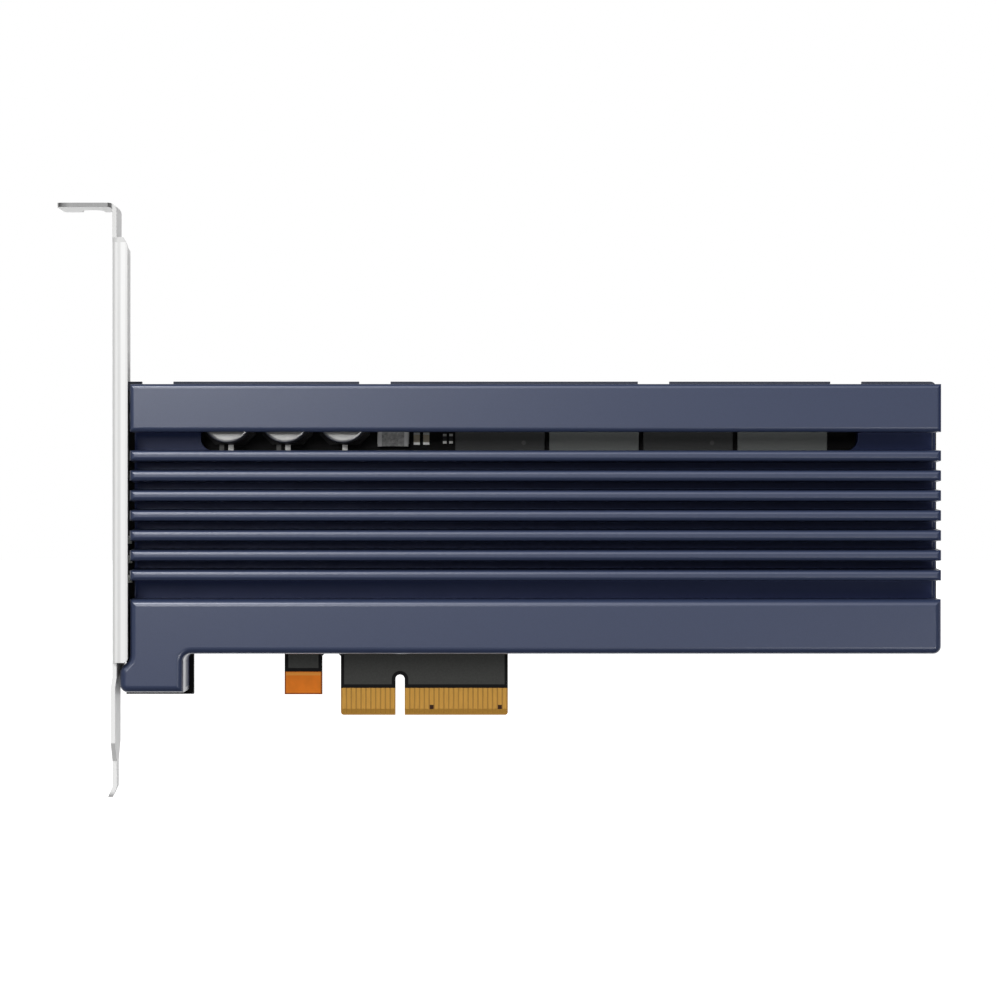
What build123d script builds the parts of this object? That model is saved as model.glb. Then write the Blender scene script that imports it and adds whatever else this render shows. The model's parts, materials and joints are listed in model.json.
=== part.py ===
from build123d import *
import os

os.makedirs("parts", exist_ok=True)

# A solid state drive on a half-length, low-profile card for a four-lane slot, with a full-height bracket.
# +X runs along the card away from the bracket, +Z is up from the card edge, and the heatsink faces -Y.
# The origin is the middle of the key notch, at the bottom of the card edge and half-way through the board.
# A rise is measured from the component side of the board towards -Y, a depth from its solder side towards +Y.

# Cuts run this far past the faces that they open.
overrun = 1.0

# Card edge
contact_pitch = 1.0
contact_width = 0.70
contact_plating = 0.05
contact_bottom = 0.35
contact_top = 5.55
short_contact_bottom = 2.10
short_stub_top = 1.20
left_contacts = 11
right_contacts = 21
short_front_contacts = (16, 30)
short_back_contacts = (0,)
key_to_contact = 1.50
edge_margin = 0.65
key_width = 1.90
key_top = 8.30
edge_corner = 0.60
bevel_height = 1.30
bevel_depth = 0.42

# Board
board_thickness = 1.57
board_top = 68.48
board_end_gap = 0.44
board_length = 166.30
board_shoulder = 12.90
board_corner = 1.20
board_tab_gap = 3.85
board_tab_width = 7.70
board_tab_bottom = 4.33
board_tab_corner = 0.80
board_foot_margin = 0.90
break_off_width = 6.50
break_off_depth = 0.90
break_off_shares = (0.0385, 0.3067, 0.6512, 0.8888)

# Tape round the end of the board's tab
tape_thickness = 0.08
tape_top = 8.90

# Bracket sheet
key_to_bracket = 57.50
sheet = 0.86
bracket_width = 18.42
bracket_rise = 15.00
bend_radius = 1.25
near_flange = 3.16
far_flange = 1.77
flange_bottom = 11.40
flange_top = 97.00
flange_chamfer = 1.60
flange_slope = 0.90
flange_end_radius = 1.00
bracket_top = 104.00
bracket_tip = -16.00
neck_width = 9.30
top_bend_radius = 1.70

# Screw tab at the top of the bracket
screw_tab_reach = 11.20
screw_tab_width = 13.10
screw_tab_corner = 1.20
screw_notch_width = 4.42
screw_notch_depth = 5.30
screw_notch_centre = 5.05

# Tail at the bottom of the bracket
tail_width = 10.19
tail_shoulder = 8.40
tail_shoulder_radius = 1.20
tail_taper = 3.08
tail_taper_top = -4.80
tail_taper_height = 3.80
tail_joggle = 0.30
tail_joggle_height = 2.00
tail_kick = 1.00
tail_kick_height = 2.20
tail_tip_radius = 1.20

# Vents and light holes in the bracket
vent_rows = 16
vent_pitch = 4.00
vent_length = 5.20
vent_height = 2.20
vent_bottom = 25.00
vent_columns = 2
vent_first_rise = 4.30
vent_column_pitch = 6.10
light_hole = 1.50
light_count = 3
light_first = 28.00
light_pitch = 4.00
light_rise = 0.55

# Lugs that carry the board
lug_length = 12.20
lug_height = 8.00
lug_corner = 1.60
lug_inset_below = 4.45
lug_inset_above = 5.20
lug_screw_setback = 4.20
lug_screw_length = 6.40
lug_screw_shank = 2.90
lug_screw_head = 5.60
screw_head_height = 0.80
screw_clearance = 0.15
spacer_diameter = 6.40

# Heatsink
sink_gap = 0.30
sink_length = 163.42
sink_bottom = 13.14
sink_top = 67.52
sink_rise = 14.30
base_floor = 4.80
base_underside = 1.80
top_rail_height = 9.64
bottom_rail_height = 11.00
rail_wall = 2.20
top_wall = 1.60
rim = 2.00
top_edge_radius = 0.90
bottom_edge_radius = 1.40
base_edge_radius = 0.70
sink_corner = 1.50
slot_inset_left = 13.54
slot_inset_right = 15.87
slot_bottom = 54.20
slot_corner = 2.50
screw_hole_floor = 0.80
foot_bottom = 5.40
foot_width = 12.75
foot_step = 1.96
foot_step_height = 2.00
foot_gap = 1.30

# Fins
fin_count = 7
fin_pitch = 4.02
fin_tip = 2.00
fin_root = 2.60
fin_first_centre = 28.97
fin_edge_radius = 0.80
fin_end_radius = 1.00

# Backplate
backplate_left = -43.40
backplate_bottom = 14.00
backplate_thickness = 2.65
backplate_floor = 1.00
backplate_corner = 3.00
backplate_edge = 0.50

# Screws that hold the backplate and the heatsink together through the board
boss_diameter = 6.60
boss_inset_x = 4.60
boss_inset_z = 5.40
middle_boss_x = 29.60
upper_boss_z = 49.60
lower_boss_z = 26.50
sink_screw_shank = 2.40
sink_screw_head = 4.60
sink_screw_length = 6.70
socket_across = 1.50
socket_depth = 0.50

# Memory packages in the slot
package_width = 18.40
package_height = 12.00
package_thickness = 1.20
package_gap = 0.90
package_slot_inset = 5.90
package_row_left = 11.00
package_bottom = 53.80
package_chamfer = 0.12
mark_radius = 0.60
mark_depth = 0.06
mark_inset_x = 4.00
mark_inset_z = 2.05

# Memory packages under the base and under the backplate
inner_inset = 0.70
inner_rows = 2
inner_low_row = 30.60
inner_row_pitch = 14.00
back_package_shares = (0.336, 0.618, 0.870)
back_pad_inset = 1.00

# Controller and its buffer memory
controller_size = 27.00
controller_x = 8.50
controller_z = 37.50
controller_lid = 0.70
controller_step = 3.00
controller_thickness = 1.30
lid_corner = 1.00
dram_width = 9.00
dram_height = 13.00
dram_thickness = 1.05
dram_x = -16.50
dram_count = 2
dram_low_z = 30.40
dram_pitch = 15.20

# Capacitor cans
can_diameter = 10.00
can_height = 10.20
can_base_size = 10.30
can_base_height = 1.30
can_base_chamfer = 2.00
can_groove_rise = 2.40
can_groove_radius = 0.40
can_edge_radius = 0.60
can_centre_z = 60.68
can_first_centre = -34.70
can_pitch = 11.70
can_count = 3
lead_width = 1.10
lead_thickness = 0.30
lead_length = 3.40
lead_reach = 1.20

# Moulded capacitor and chip parts in the slot
moulded_length = 6.50
moulded_width = 4.20
moulded_height = 2.80
moulded_x = -1.35
moulded_z = 57.20
moulded_end = 1.10
moulded_skin = 0.12
chip_row_z = 56.75
chip_end = 0.50
chip_skin = 0.04
chip_capacitor_length = 2.50
chip_capacitor_width = 1.25
chip_capacitor_thickness = 0.85
chip_capacitor_count = 2
chip_capacitor_first = 3.45
chip_capacitor_pitch = 1.95
chip_resistor_length = 2.00
chip_resistor_width = 0.75
chip_resistor_thickness = 0.45
chip_resistor_count = 2
chip_resistor_gap = 0.45
chip_resistor_pitch = 1.30

# Power parts under the bottom rail
inductor_size = 5.20
inductor_height = 2.90
inductor_chamfer = 0.70
inductor_count = 3
inductor_first = 46.00
inductor_pitch = 12.00
power_row = 18.60
power_pocket_left = 38.00
regulator_width = 5.00
regulator_height = 6.00
regulator_thickness = 0.95
regulator_count = 2
crystal_width = 3.20
crystal_height = 2.50
crystal_thickness = 0.75
crystal_x = -8.60
crystal_z = 38.00
light_width = 1.20
light_height = 1.60
light_thickness = 0.70

# Places worked out from the sizes above
half_board = board_thickness / 2
edge_left = -(key_to_contact + (left_contacts - 1) * contact_pitch + edge_margin)
edge_right = key_to_contact + (right_contacts - 1) * contact_pitch + edge_margin
bracket_outer = -key_to_bracket
bracket_inner = bracket_outer + sheet
bracket_near = -(half_board + bracket_rise)
bracket_far = bracket_near + bracket_width
flat_near = bracket_near + sheet
flat_far = bracket_far - sheet
board_left = bracket_inner + board_end_gap
board_right = board_left + board_length
board_tab_right = edge_left - board_tab_gap
board_tab_left = board_tab_right - board_tab_width
sink_left = bracket_outer + near_flange + sink_gap
sink_right = sink_left + sink_length
foot_left = sink_left - foot_step
foot_right = foot_left + foot_width
foot_step_bottom = flange_bottom - foot_gap
board_foot_right = foot_right + board_foot_margin
slot_left = sink_left + slot_inset_left
slot_right = sink_right - slot_inset_right
top_rail_bottom = sink_top - top_rail_height
bottom_rail_top = sink_bottom + bottom_rail_height
lug_screw_x = bracket_inner + lug_length - lug_screw_setback
boss_places = (
    (backplate_left + boss_inset_x, upper_boss_z),
    (backplate_left + boss_inset_x, sink_bottom + boss_inset_z),
    (sink_right - boss_inset_x, sink_top - boss_inset_z),
    (sink_right - boss_inset_x, sink_bottom + boss_inset_z),
    (middle_boss_x, upper_boss_z),
    (middle_boss_x, lower_boss_z),
)
lug_places = (sink_bottom + lug_inset_below, sink_top - lug_inset_above)
lug_screw_places = tuple((lug_screw_x, height) for height in lug_places)
light_places = tuple(light_first + number * light_pitch for number in range(light_count))


def front(rise):
    """A plane parallel to the board, a rise in front of its component side, facing the heatsink's side."""
    return Plane.XZ.offset(half_board + rise)


def back(depth):
    """A plane parallel to the board, a depth behind its solder side, also facing the heatsink's side."""
    return Plane.XZ.offset(-half_board - depth)


def corners(outline, *points):
    """The vertices of an outline that lie nearest to the given points."""
    return [outline.vertices().sort_by_distance(point)[0] for point in points]


def finish(piece, name):
    """Gives the finished piece its name and writes its file."""
    piece.label = name
    export_step(piece, f"parts/{name}.step")


def slab(plane, centre, width, height, thickness, chamfer_size=0.0):
    """A flat rectangular body on a plane, with its outer face's edges chamfered if a size is given."""
    with BuildPart() as body:
        with BuildSketch(plane):
            with Locations(centre):
                Rectangle(width, height)
        extrude(amount=thickness)
        if chamfer_size:
            outer = body.faces().sort_by(Axis.Y)[0 if thickness > 0 else -1]
            chamfer(outer.edges(), chamfer_size)
    return body.part


def contact_x(index):
    """The middle of a contact, counted from the bracket's end of the card edge."""
    if index < left_contacts:
        return -key_to_contact - (left_contacts - 1 - index) * contact_pitch
    return key_to_contact + (index - left_contacts) * contact_pitch


# Board, with its card edge, its small tab, the part behind the heatsink's foot and four break-off notches
with BuildPart() as pcb:
    with BuildSketch(back(0)) as board_outline:
        with BuildLine():
            Polyline(
                (board_left, board_tab_bottom),
                (board_foot_right, board_tab_bottom),
                (board_foot_right, board_shoulder),
                (board_tab_left, board_shoulder),
                (board_tab_left, board_tab_bottom),
                (board_tab_right, board_tab_bottom),
                (board_tab_right, board_shoulder),
                (edge_left, board_shoulder),
                (edge_left, 0),
                (edge_right, 0),
                (edge_right, board_shoulder),
                (board_right, board_shoulder),
                (board_right, board_top),
                (board_left, board_top),
                close=True,
            )
        make_face()
        chamfer(
            corners(board_outline, (board_tab_right, board_shoulder), (edge_left, board_shoulder)),
            board_tab_corner,
        )
        fillet(board_outline.vertices().group_by(Axis.Y)[0], edge_corner)
        fillet(board_outline.vertices().group_by(Axis.X)[-1], board_corner)
        with Locations((0, key_top / 2 - overrun)):
            SlotCenterToCenter(key_top + 2 * overrun - key_width, key_width, rotation=90, mode=Mode.SUBTRACT)
        with Locations(*[(board_left + share * board_length, board_top) for share in break_off_shares]):
            Rectangle(break_off_width, 2 * break_off_depth, mode=Mode.SUBTRACT)
        with Locations(*boss_places):
            Circle(sink_screw_shank / 2 + screw_clearance, mode=Mode.SUBTRACT)
        with Locations(*lug_screw_places):
            Circle(lug_screw_shank / 2 + screw_clearance, mode=Mode.SUBTRACT)
    extrude(amount=board_thickness)
    with BuildSketch(Plane.YZ.offset(edge_left - overrun)):
        for side in (-1, 1):
            with BuildLine():
                Polyline(
                    (side * half_board, bevel_height),
                    (side * (half_board - bevel_depth), 0),
                    (side * (half_board + overrun), 0),
                    close=True,
                )
            make_face()
    extrude(amount=edge_right - edge_left + 2 * overrun, mode=Mode.SUBTRACT)
finish(pcb.part, "pcb")

# Gold contacts on both faces of the card edge, which follow the bevel down to their lower ends.
# A short contact stops higher up, and leaves a stub of its plating on the bevel.
def contact_row(side, short_ones):
    """One face's contacts, with the side -1 for the component side and 1 for the solder side."""
    surface = side * half_board
    skin = side * (half_board + contact_plating)
    lean = side * bevel_depth * (bevel_height - contact_bottom) / bevel_height
    stub_lean = side * bevel_depth * (bevel_height - short_stub_top) / bevel_height
    with BuildPart() as row:
        for index in range(left_contacts + right_contacts):
            if index in short_ones:
                outlines = (
                    (
                        (surface, contact_top),
                        (surface, short_contact_bottom),
                        (skin, short_contact_bottom),
                        (skin, contact_top),
                    ),
                    (
                        (surface - stub_lean, short_stub_top),
                        (surface - lean, contact_bottom),
                        (skin - lean, contact_bottom),
                        (skin - stub_lean, short_stub_top),
                    ),
                )
            else:
                outlines = (
                    (
                        (surface, contact_top),
                        (surface, bevel_height),
                        (surface - lean, contact_bottom),
                        (skin - lean, contact_bottom),
                        (skin, bevel_height),
                        (skin, contact_top),
                    ),
                )
            with BuildSketch(Plane.YZ.offset(contact_x(index) - contact_width / 2)):
                for outline in outlines:
                    with BuildLine():
                        Polyline(*outline, close=True)
                    make_face()
            extrude(amount=contact_width)
    return row.part


finish(contact_row(-1, short_front_contacts), "contacts_front")
finish(contact_row(1, short_back_contacts), "contacts_back")

# Tape folded round the end of the board's small tab
with BuildPart() as tab_tape:
    tape_outer = half_board + tape_thickness
    with BuildSketch(Plane.YZ.offset(board_tab_left)):
        with BuildLine():
            Polyline(
                (-tape_outer, tape_top),
                (-tape_outer, board_tab_bottom - tape_thickness),
                (tape_outer, board_tab_bottom - tape_thickness),
                (tape_outer, tape_top),
                (half_board, tape_top),
                (half_board, board_tab_bottom),
                (-half_board, board_tab_bottom),
                (-half_board, tape_top),
                close=True,
            )
        make_face()
    extrude(amount=board_tab_width)
finish(tab_tape.part, "tab_tape")


# Bracket: the long middle is a folded channel
with BuildPart() as channel:
    with BuildSketch(Plane.XY.offset(flange_bottom)) as channel_section:
        with BuildLine():
            Polyline(
                (bracket_outer + near_flange, bracket_near),
                (bracket_outer, bracket_near),
                (bracket_outer, bracket_far),
                (bracket_outer + far_flange, bracket_far),
                (bracket_outer + far_flange, flat_far),
                (bracket_inner, flat_far),
                (bracket_inner, flat_near),
                (bracket_outer + near_flange, flat_near),
                close=True,
            )
        make_face()
        outer_bends = corners(channel_section, (bracket_outer, bracket_near), (bracket_outer, bracket_far))
        fillet(outer_bends, bend_radius)
        inner_bends = corners(channel_section, (bracket_inner, flat_near), (bracket_inner, flat_far))
        fillet(inner_bends, bend_radius - sheet)
    extrude(amount=flange_top - flange_bottom)
    for free_edge, from_y, to_y in (
        (bracket_outer + near_flange, bracket_near - overrun, bracket_near + bend_radius),
        (bracket_outer + far_flange, bracket_far - bend_radius, bracket_far + overrun),
    ):
        with BuildSketch(Plane.XZ.offset(-from_y)):
            with BuildLine():
                Polyline(
                    (free_edge - flange_slope, flange_top),
                    (free_edge, flange_top - flange_chamfer),
                    (free_edge + overrun, flange_top - flange_chamfer),
                    (free_edge + overrun, flange_top + overrun),
                    (free_edge - flange_slope, flange_top + overrun),
                    close=True,
                )
            make_face()
        extrude(amount=from_y - to_y, mode=Mode.SUBTRACT)
    fillet(channel.edges().filter_by(Axis.Y).group_by(Axis.X)[-1].sort_by(Axis.Z)[0], flange_end_radius)

# Bracket: the neck and the screw tab bent outwards at its top
with BuildPart() as bracket_head:
    with BuildSketch(Plane.XZ.offset(-flat_near)) as head_section:
        with BuildLine():
            Polyline(
                (bracket_inner, flange_top),
                (bracket_inner, bracket_top),
                (bracket_outer - screw_tab_reach, bracket_top),
                (bracket_outer - screw_tab_reach, bracket_top - sheet),
                (bracket_outer, bracket_top - sheet),
                (bracket_outer, flange_top),
                close=True,
            )
        make_face()
        fillet(corners(head_section, (bracket_inner, bracket_top)), top_bend_radius)
        fillet(corners(head_section, (bracket_outer, bracket_top - sheet)), top_bend_radius - sheet)
    extrude(amount=-screw_tab_width)
    with BuildSketch(Plane.XZ.offset(-flat_near - neck_width)):
        with BuildLine():
            Polyline(
                (bracket_outer + sheet - top_bend_radius, flange_top - overrun),
                (bracket_inner + overrun, flange_top - overrun),
                (bracket_inner + overrun, bracket_top + overrun),
                (bracket_outer + sheet - top_bend_radius, bracket_top + overrun),
                close=True,
            )
        make_face()
    extrude(amount=-(screw_tab_width - neck_width + overrun), mode=Mode.SUBTRACT)
    notch_end = flat_near + screw_tab_width - screw_notch_depth + screw_notch_width / 2
    with BuildSketch(Plane.XY.offset(bracket_top - sheet - overrun)):
        with Locations((bracket_outer - screw_notch_centre, notch_end)):
            Circle(screw_notch_width / 2)
            Rectangle(screw_notch_width, screw_notch_depth, align=(Align.CENTER, Align.MIN))
    extrude(amount=sheet + 2 * overrun, mode=Mode.SUBTRACT)
    tab_corners = bracket_head.edges().filter_by(Axis.Z).group_by(Axis.X)[0]
    fillet(tab_corners, screw_tab_corner)

# Bracket: the tail, stepped outwards a little, tapered to a tongue and kicked outwards at its tip
tail_step_bottom = tail_shoulder - tail_joggle_height
with BuildPart() as bracket_tail:
    with BuildSketch(Plane.XZ.offset(-flat_near)) as tail_section:
        with BuildLine():
            Polyline(
                (bracket_outer, flange_bottom),
                (bracket_inner, flange_bottom),
                (bracket_inner, tail_shoulder),
                (bracket_inner - tail_joggle, tail_step_bottom),
                (bracket_inner - tail_joggle, bracket_tip + tail_kick_height),
                (bracket_inner - tail_joggle - tail_kick, bracket_tip),
                (bracket_outer - tail_joggle - tail_kick, bracket_tip),
                (bracket_outer - tail_joggle, bracket_tip + tail_kick_height),
                (bracket_outer - tail_joggle, tail_step_bottom),
                (bracket_outer, tail_shoulder),
                close=True,
            )
        make_face()
    extrude(amount=-(flat_far - flat_near))
    with BuildSketch(Plane.YZ.offset(bracket_outer - overrun - tail_joggle - tail_kick)) as tail_outline:
        with BuildLine():
            Polyline(
                (flat_near, flange_bottom),
                (flat_far, flange_bottom),
                (flat_far, tail_shoulder),
                (flat_near + tail_width, tail_shoulder),
                (flat_near + tail_width, tail_taper_top),
                (flat_near + tail_width - tail_taper, tail_taper_top - tail_taper_height),
                (flat_near + tail_width - tail_taper, bracket_tip),
                (flat_near + tail_taper, bracket_tip),
                (flat_near + tail_taper, tail_taper_top - tail_taper_height),
                (flat_near, tail_taper_top),
                close=True,
            )
        make_face()
        fillet(
            corners(tail_outline, (flat_far, tail_shoulder), (flat_near + tail_width, tail_shoulder)),
            tail_shoulder_radius,
        )
        fillet(tail_outline.vertices().group_by(Axis.Y)[0], tail_tip_radius)
    extrude(amount=sheet + tail_joggle + tail_kick + 2 * overrun, mode=Mode.INTERSECT)

# Bracket: the three stretches are one sheet, with two lugs for the board, vents and light holes
with BuildPart() as bracket:
    add(channel.part)
    add(bracket_head.part)
    add(bracket_tail.part)
    lug_start = bracket_outer + bend_radius
    lug_end = bracket_inner + lug_length
    with BuildSketch(Plane.XZ.offset(-flat_far)) as lug_outline:
        with Locations(*[((lug_start + lug_end) / 2, place) for place in lug_places]):
            Rectangle(lug_end - lug_start, lug_height)
        fillet(lug_outline.vertices().group_by(Axis.X)[-1], lug_corner)
        with Locations(*lug_screw_places):
            Circle(lug_screw_shank / 2 + screw_clearance, mode=Mode.SUBTRACT)
    extrude(amount=-sheet)
    with BuildSketch(Plane.YZ.offset(bracket_outer - sheet)):
        for column in range(vent_columns):
            for row in range(vent_rows):
                rise = vent_first_rise + column * vent_column_pitch
                with Locations((-(half_board + rise), vent_bottom + row * vent_pitch)):
                    SlotOverall(vent_length, vent_height)
        with Locations(*[(-(half_board + light_rise), place) for place in light_places]):
            Circle(light_hole / 2)
    extrude(amount=3 * sheet, mode=Mode.SUBTRACT)
finish(bracket.part, "bracket")


# Spacers between the board and the lugs, and the screws through them
with BuildPart() as bracket_spacers:
    with BuildSketch(back(0)):
        with Locations(*lug_screw_places):
            Circle(spacer_diameter / 2)
            Circle(lug_screw_shank / 2 + screw_clearance, mode=Mode.SUBTRACT)
    extrude(amount=-(flat_far - half_board))
finish(bracket_spacers.part, "bracket_spacers")


def screw_set(places, head_face, shank, head, length):
    """Low-headed screws driven from the solder side, their heads on a face at the given depth."""
    with BuildPart() as screws:
        with BuildSketch(back(head_face)):
            with Locations(*places):
                Circle(head / 2)
        extrude(amount=-screw_head_height)
        with BuildSketch(back(head_face)):
            with Locations(*places):
                Circle(shank / 2)
        extrude(amount=length)
        with BuildSketch(back(head_face + screw_head_height)):
            with Locations(*places):
                RegularPolygon(socket_across / 2, 6, major_radius=False)
        extrude(amount=socket_depth, mode=Mode.SUBTRACT)
    return screws.part


finish(
    screw_set(lug_screw_places, bracket_far - half_board, lug_screw_shank, lug_screw_head, lug_screw_length),
    "bracket_screws",
)
finish(
    screw_set(
        boss_places, backplate_thickness - screw_head_height, sink_screw_shank, sink_screw_head, sink_screw_length
    ),
    "heatsink_screws",
)


# Fins of the heatsink: tapered to rounded tips, and rounded off at both ends
fin_root_face = -(half_board + base_floor)
fin_tip_face = -(half_board + sink_rise)
fins_bottom = fin_first_centre - fin_root
with BuildPart() as fins:
    for number in range(fin_count):
        centre = fin_first_centre + number * fin_pitch
        with BuildSketch(Plane.YZ.offset(sink_left)) as fin_section:
            with BuildLine():
                Polyline(
                    (fin_root_face + rim, centre - fin_root / 2),
                    (fin_root_face, centre - fin_root / 2),
                    (fin_tip_face, centre - fin_tip / 2),
                    (fin_tip_face, centre + fin_tip / 2),
                    (fin_root_face, centre + fin_root / 2),
                    (fin_root_face + rim, centre + fin_root / 2),
                    close=True,
                )
            make_face()
            fillet(fin_section.vertices().group_by(Axis.X)[0], fin_edge_radius)
        extrude(amount=sink_length)
    with BuildSketch(Plane.XY.offset(fins_bottom)) as fin_plan:
        with BuildLine():
            Polyline(
                (sink_left, fin_root_face + rim),
                (sink_left, fin_tip_face),
                (sink_right, fin_tip_face),
                (sink_right, fin_root_face + rim),
                close=True,
            )
        make_face()
        fillet(fin_plan.vertices().group_by(Axis.Y)[0], fin_end_radius)
    extrude(amount=fin_count * fin_pitch + fin_root, mode=Mode.INTERSECT)

# Heatsink: one machined block with two broad rails, its fins, a long slot and pockets behind
outer_corners = (
    (sink_right, sink_bottom),
    (foot_right, sink_bottom),
    (foot_left, foot_bottom),
    (foot_left, foot_step_bottom),
    (sink_left, foot_step_bottom + foot_step_height),
)
with BuildPart() as heatsink:
    with BuildSketch(front(0)) as base_outline:
        with BuildLine():
            Polyline(
                (sink_left, sink_top),
                (sink_right, sink_top),
                (sink_right, sink_bottom),
                (foot_right, sink_bottom),
                (foot_right, foot_bottom),
                (foot_left, foot_bottom),
                (foot_left, foot_step_bottom),
                (sink_left, foot_step_bottom + foot_step_height),
                close=True,
            )
        make_face()
        fillet(corners(base_outline, *outer_corners), sink_corner)
    extrude(amount=base_floor)
    fillet(heatsink.faces().sort_by(Axis.Y)[0].edges(), base_edge_radius)
    with BuildSketch(front(0)):
        with BuildLine():
            Polyline(
                (sink_left, sink_top),
                (sink_right, sink_top),
                (sink_right, top_rail_bottom),
                (sink_left, top_rail_bottom),
                close=True,
            )
        make_face()
    extrude(amount=sink_rise)
    fillet(heatsink.faces().sort_by(Axis.Y)[0].edges(), top_edge_radius)
    with BuildSketch(front(0)) as bottom_rail_outline:
        with BuildLine():
            Polyline(
                (sink_left, bottom_rail_top),
                (sink_right, bottom_rail_top),
                (sink_right, sink_bottom),
                (foot_right, sink_bottom),
                (foot_right, foot_bottom),
                (foot_left, foot_bottom),
                (foot_left, foot_step_bottom),
                (sink_left, foot_step_bottom + foot_step_height),
                close=True,
            )
        make_face()
        fillet(corners(bottom_rail_outline, *outer_corners), sink_corner)
    extrude(amount=sink_rise)
    rail_faces = heatsink.faces().filter_by(Axis.Y).group_by(Axis.Y)[0]
    fillet(rail_faces.sort_by(Axis.Z)[0].edges(), bottom_edge_radius)
    add(fins.part)

    with BuildSketch(front(0)) as slot_outline:
        with BuildLine():
            Polyline(
                (slot_left, slot_bottom),
                (slot_right, slot_bottom),
                (slot_right, sink_top - top_wall),
                (slot_left, sink_top - top_wall),
                close=True,
            )
        make_face()
        fillet(slot_outline.vertices().group_by(Axis.Y)[0], slot_corner)
    extrude(amount=sink_rise - rail_wall, mode=Mode.SUBTRACT)
    with BuildSketch(front(0)):
        with BuildLine():
            Polyline(
                (slot_left, sink_bottom + rim),
                (slot_right, sink_bottom + rim),
                (slot_right, slot_bottom + slot_corner),
                (slot_left, slot_bottom + slot_corner),
                close=True,
            )
        make_face()
        with Locations(*boss_places):
            Circle(boss_diameter / 2, mode=Mode.SUBTRACT)
    extrude(amount=base_underside, mode=Mode.SUBTRACT)
    with BuildSketch(front(0)):
        with BuildLine():
            Polyline(
                (power_pocket_left, sink_bottom + rim),
                (slot_right, sink_bottom + rim),
                (slot_right, bottom_rail_top - rim),
                (power_pocket_left, bottom_rail_top - rim),
                close=True,
            )
        make_face()
    extrude(amount=sink_rise - rail_wall, mode=Mode.SUBTRACT)
    with BuildSketch(front(0)):
        with Locations(*boss_places):
            Circle(sink_screw_shank / 2 + screw_clearance)
        with Locations(*lug_screw_places):
            Circle(lug_screw_shank / 2 + screw_clearance)
    extrude(amount=base_floor - screw_hole_floor, mode=Mode.SUBTRACT)
finish(heatsink.part, "heatsink")


# Backplate: a shallow tray whose rim and bosses stand on the board's solder side
with BuildPart() as backplate:
    with BuildSketch(back(0)) as plate_outline:
        with BuildLine():
            Polyline(
                (backplate_left, backplate_bottom),
                (sink_right, backplate_bottom),
                (sink_right, sink_top),
                (backplate_left, sink_top),
                close=True,
            )
        make_face()
        fillet(plate_outline.vertices(), backplate_corner)
    extrude(amount=-backplate_thickness)
    chamfer(backplate.faces().sort_by(Axis.Y)[-1].edges(), backplate_edge)
    with BuildSketch(back(0)) as tray:
        with BuildLine():
            Polyline(
                (backplate_left + rim, backplate_bottom + rim),
                (sink_right - rim, backplate_bottom + rim),
                (sink_right - rim, sink_top - rim),
                (backplate_left + rim, sink_top - rim),
                close=True,
            )
        make_face()
        with Locations(*boss_places):
            Circle(boss_diameter / 2, mode=Mode.SUBTRACT)
    extrude(amount=-(backplate_thickness - backplate_floor), mode=Mode.SUBTRACT)
    with BuildSketch(back(0)):
        with Locations(*boss_places):
            Circle(sink_screw_shank / 2 + screw_clearance)
    extrude(amount=-backplate_thickness, mode=Mode.SUBTRACT)
    with BuildSketch(back(backplate_thickness - screw_head_height)):
        with Locations(*boss_places):
            Circle(sink_screw_head / 2 + screw_clearance)
    extrude(amount=-screw_head_height, mode=Mode.SUBTRACT)
finish(backplate.part, "backplate")


# Memory packages in a row behind the slot: flash and buffer packages by turns
slot_row = package_bottom + package_height / 2
package_pitch = package_width + package_gap
row_end = slot_right - package_slot_inset
slot_packages = int((row_end + package_gap - package_row_left) // package_pitch)
row_start = row_end - slot_packages * package_pitch + package_gap
for number in range(slot_packages):
    package_x = row_start + package_width / 2 + number * package_pitch
    pair = number // 2 + 1
    if number % 2:
        buffer = slab(
            front(0), (package_x, slot_row), package_width, package_height, package_thickness, package_chamfer
        )
        finish(buffer, f"buffer_slot_{pair}")
        continue
    with BuildPart() as flash:
        with BuildSketch(front(0)):
            with Locations((package_x, slot_row)):
                Rectangle(package_width, package_height)
        extrude(amount=package_thickness)
        chamfer(flash.faces().sort_by(Axis.Y)[0].edges(), package_chamfer)
        with BuildSketch(front(package_thickness)):
            with Locations((package_x + package_width / 2 - mark_inset_x, package_bottom + mark_inset_z)):
                Circle(mark_radius)
        extrude(amount=-mark_depth, mode=Mode.SUBTRACT)
    finish(flash.part, f"flash_slot_{pair}")

# Flash packages under the base, with a thermal pad between each row and the base
pad_thickness = base_underside - package_thickness
inner_right = slot_right - inner_inset
inner_room = inner_right - (middle_boss_x + boss_diameter / 2 + inner_inset)
inner_columns = int(inner_room // package_pitch)
inner_left = inner_right - inner_columns * package_pitch + package_gap
for row in range(inner_rows):
    row_z = inner_low_row + row * inner_row_pitch
    for column in range(inner_columns):
        package_x = inner_left + package_width / 2 + column * package_pitch
        package = slab(
            front(0), (package_x, row_z), package_width, package_height, package_thickness, package_chamfer
        )
        finish(package, f"flash_inner_{row * inner_columns + column + 1}")
    pad_place = ((inner_left + inner_right) / 2, row_z)
    pad = slab(front(package_thickness), pad_place, inner_right - inner_left, package_height, pad_thickness)
    finish(pad, f"flash_pad_{row + 1}")

# Flash packages on the solder side, each with its own pad up to the backplate's floor
back_gap = backplate_thickness - backplate_floor - package_thickness
back_row = (backplate_bottom + sink_top) / 2
for number, share in enumerate(back_package_shares):
    place = backplate_left + share * (sink_right - backplate_left)
    package = slab(back(0), (place, back_row), package_width, package_height, -package_thickness, package_chamfer)
    finish(package, f"flash_back_{number + 1}")
    pad = slab(
        back(package_thickness),
        (place, back_row),
        package_width - back_pad_inset,
        package_height - back_pad_inset,
        -back_gap,
    )
    finish(pad, f"back_pad_{number + 1}")

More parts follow.
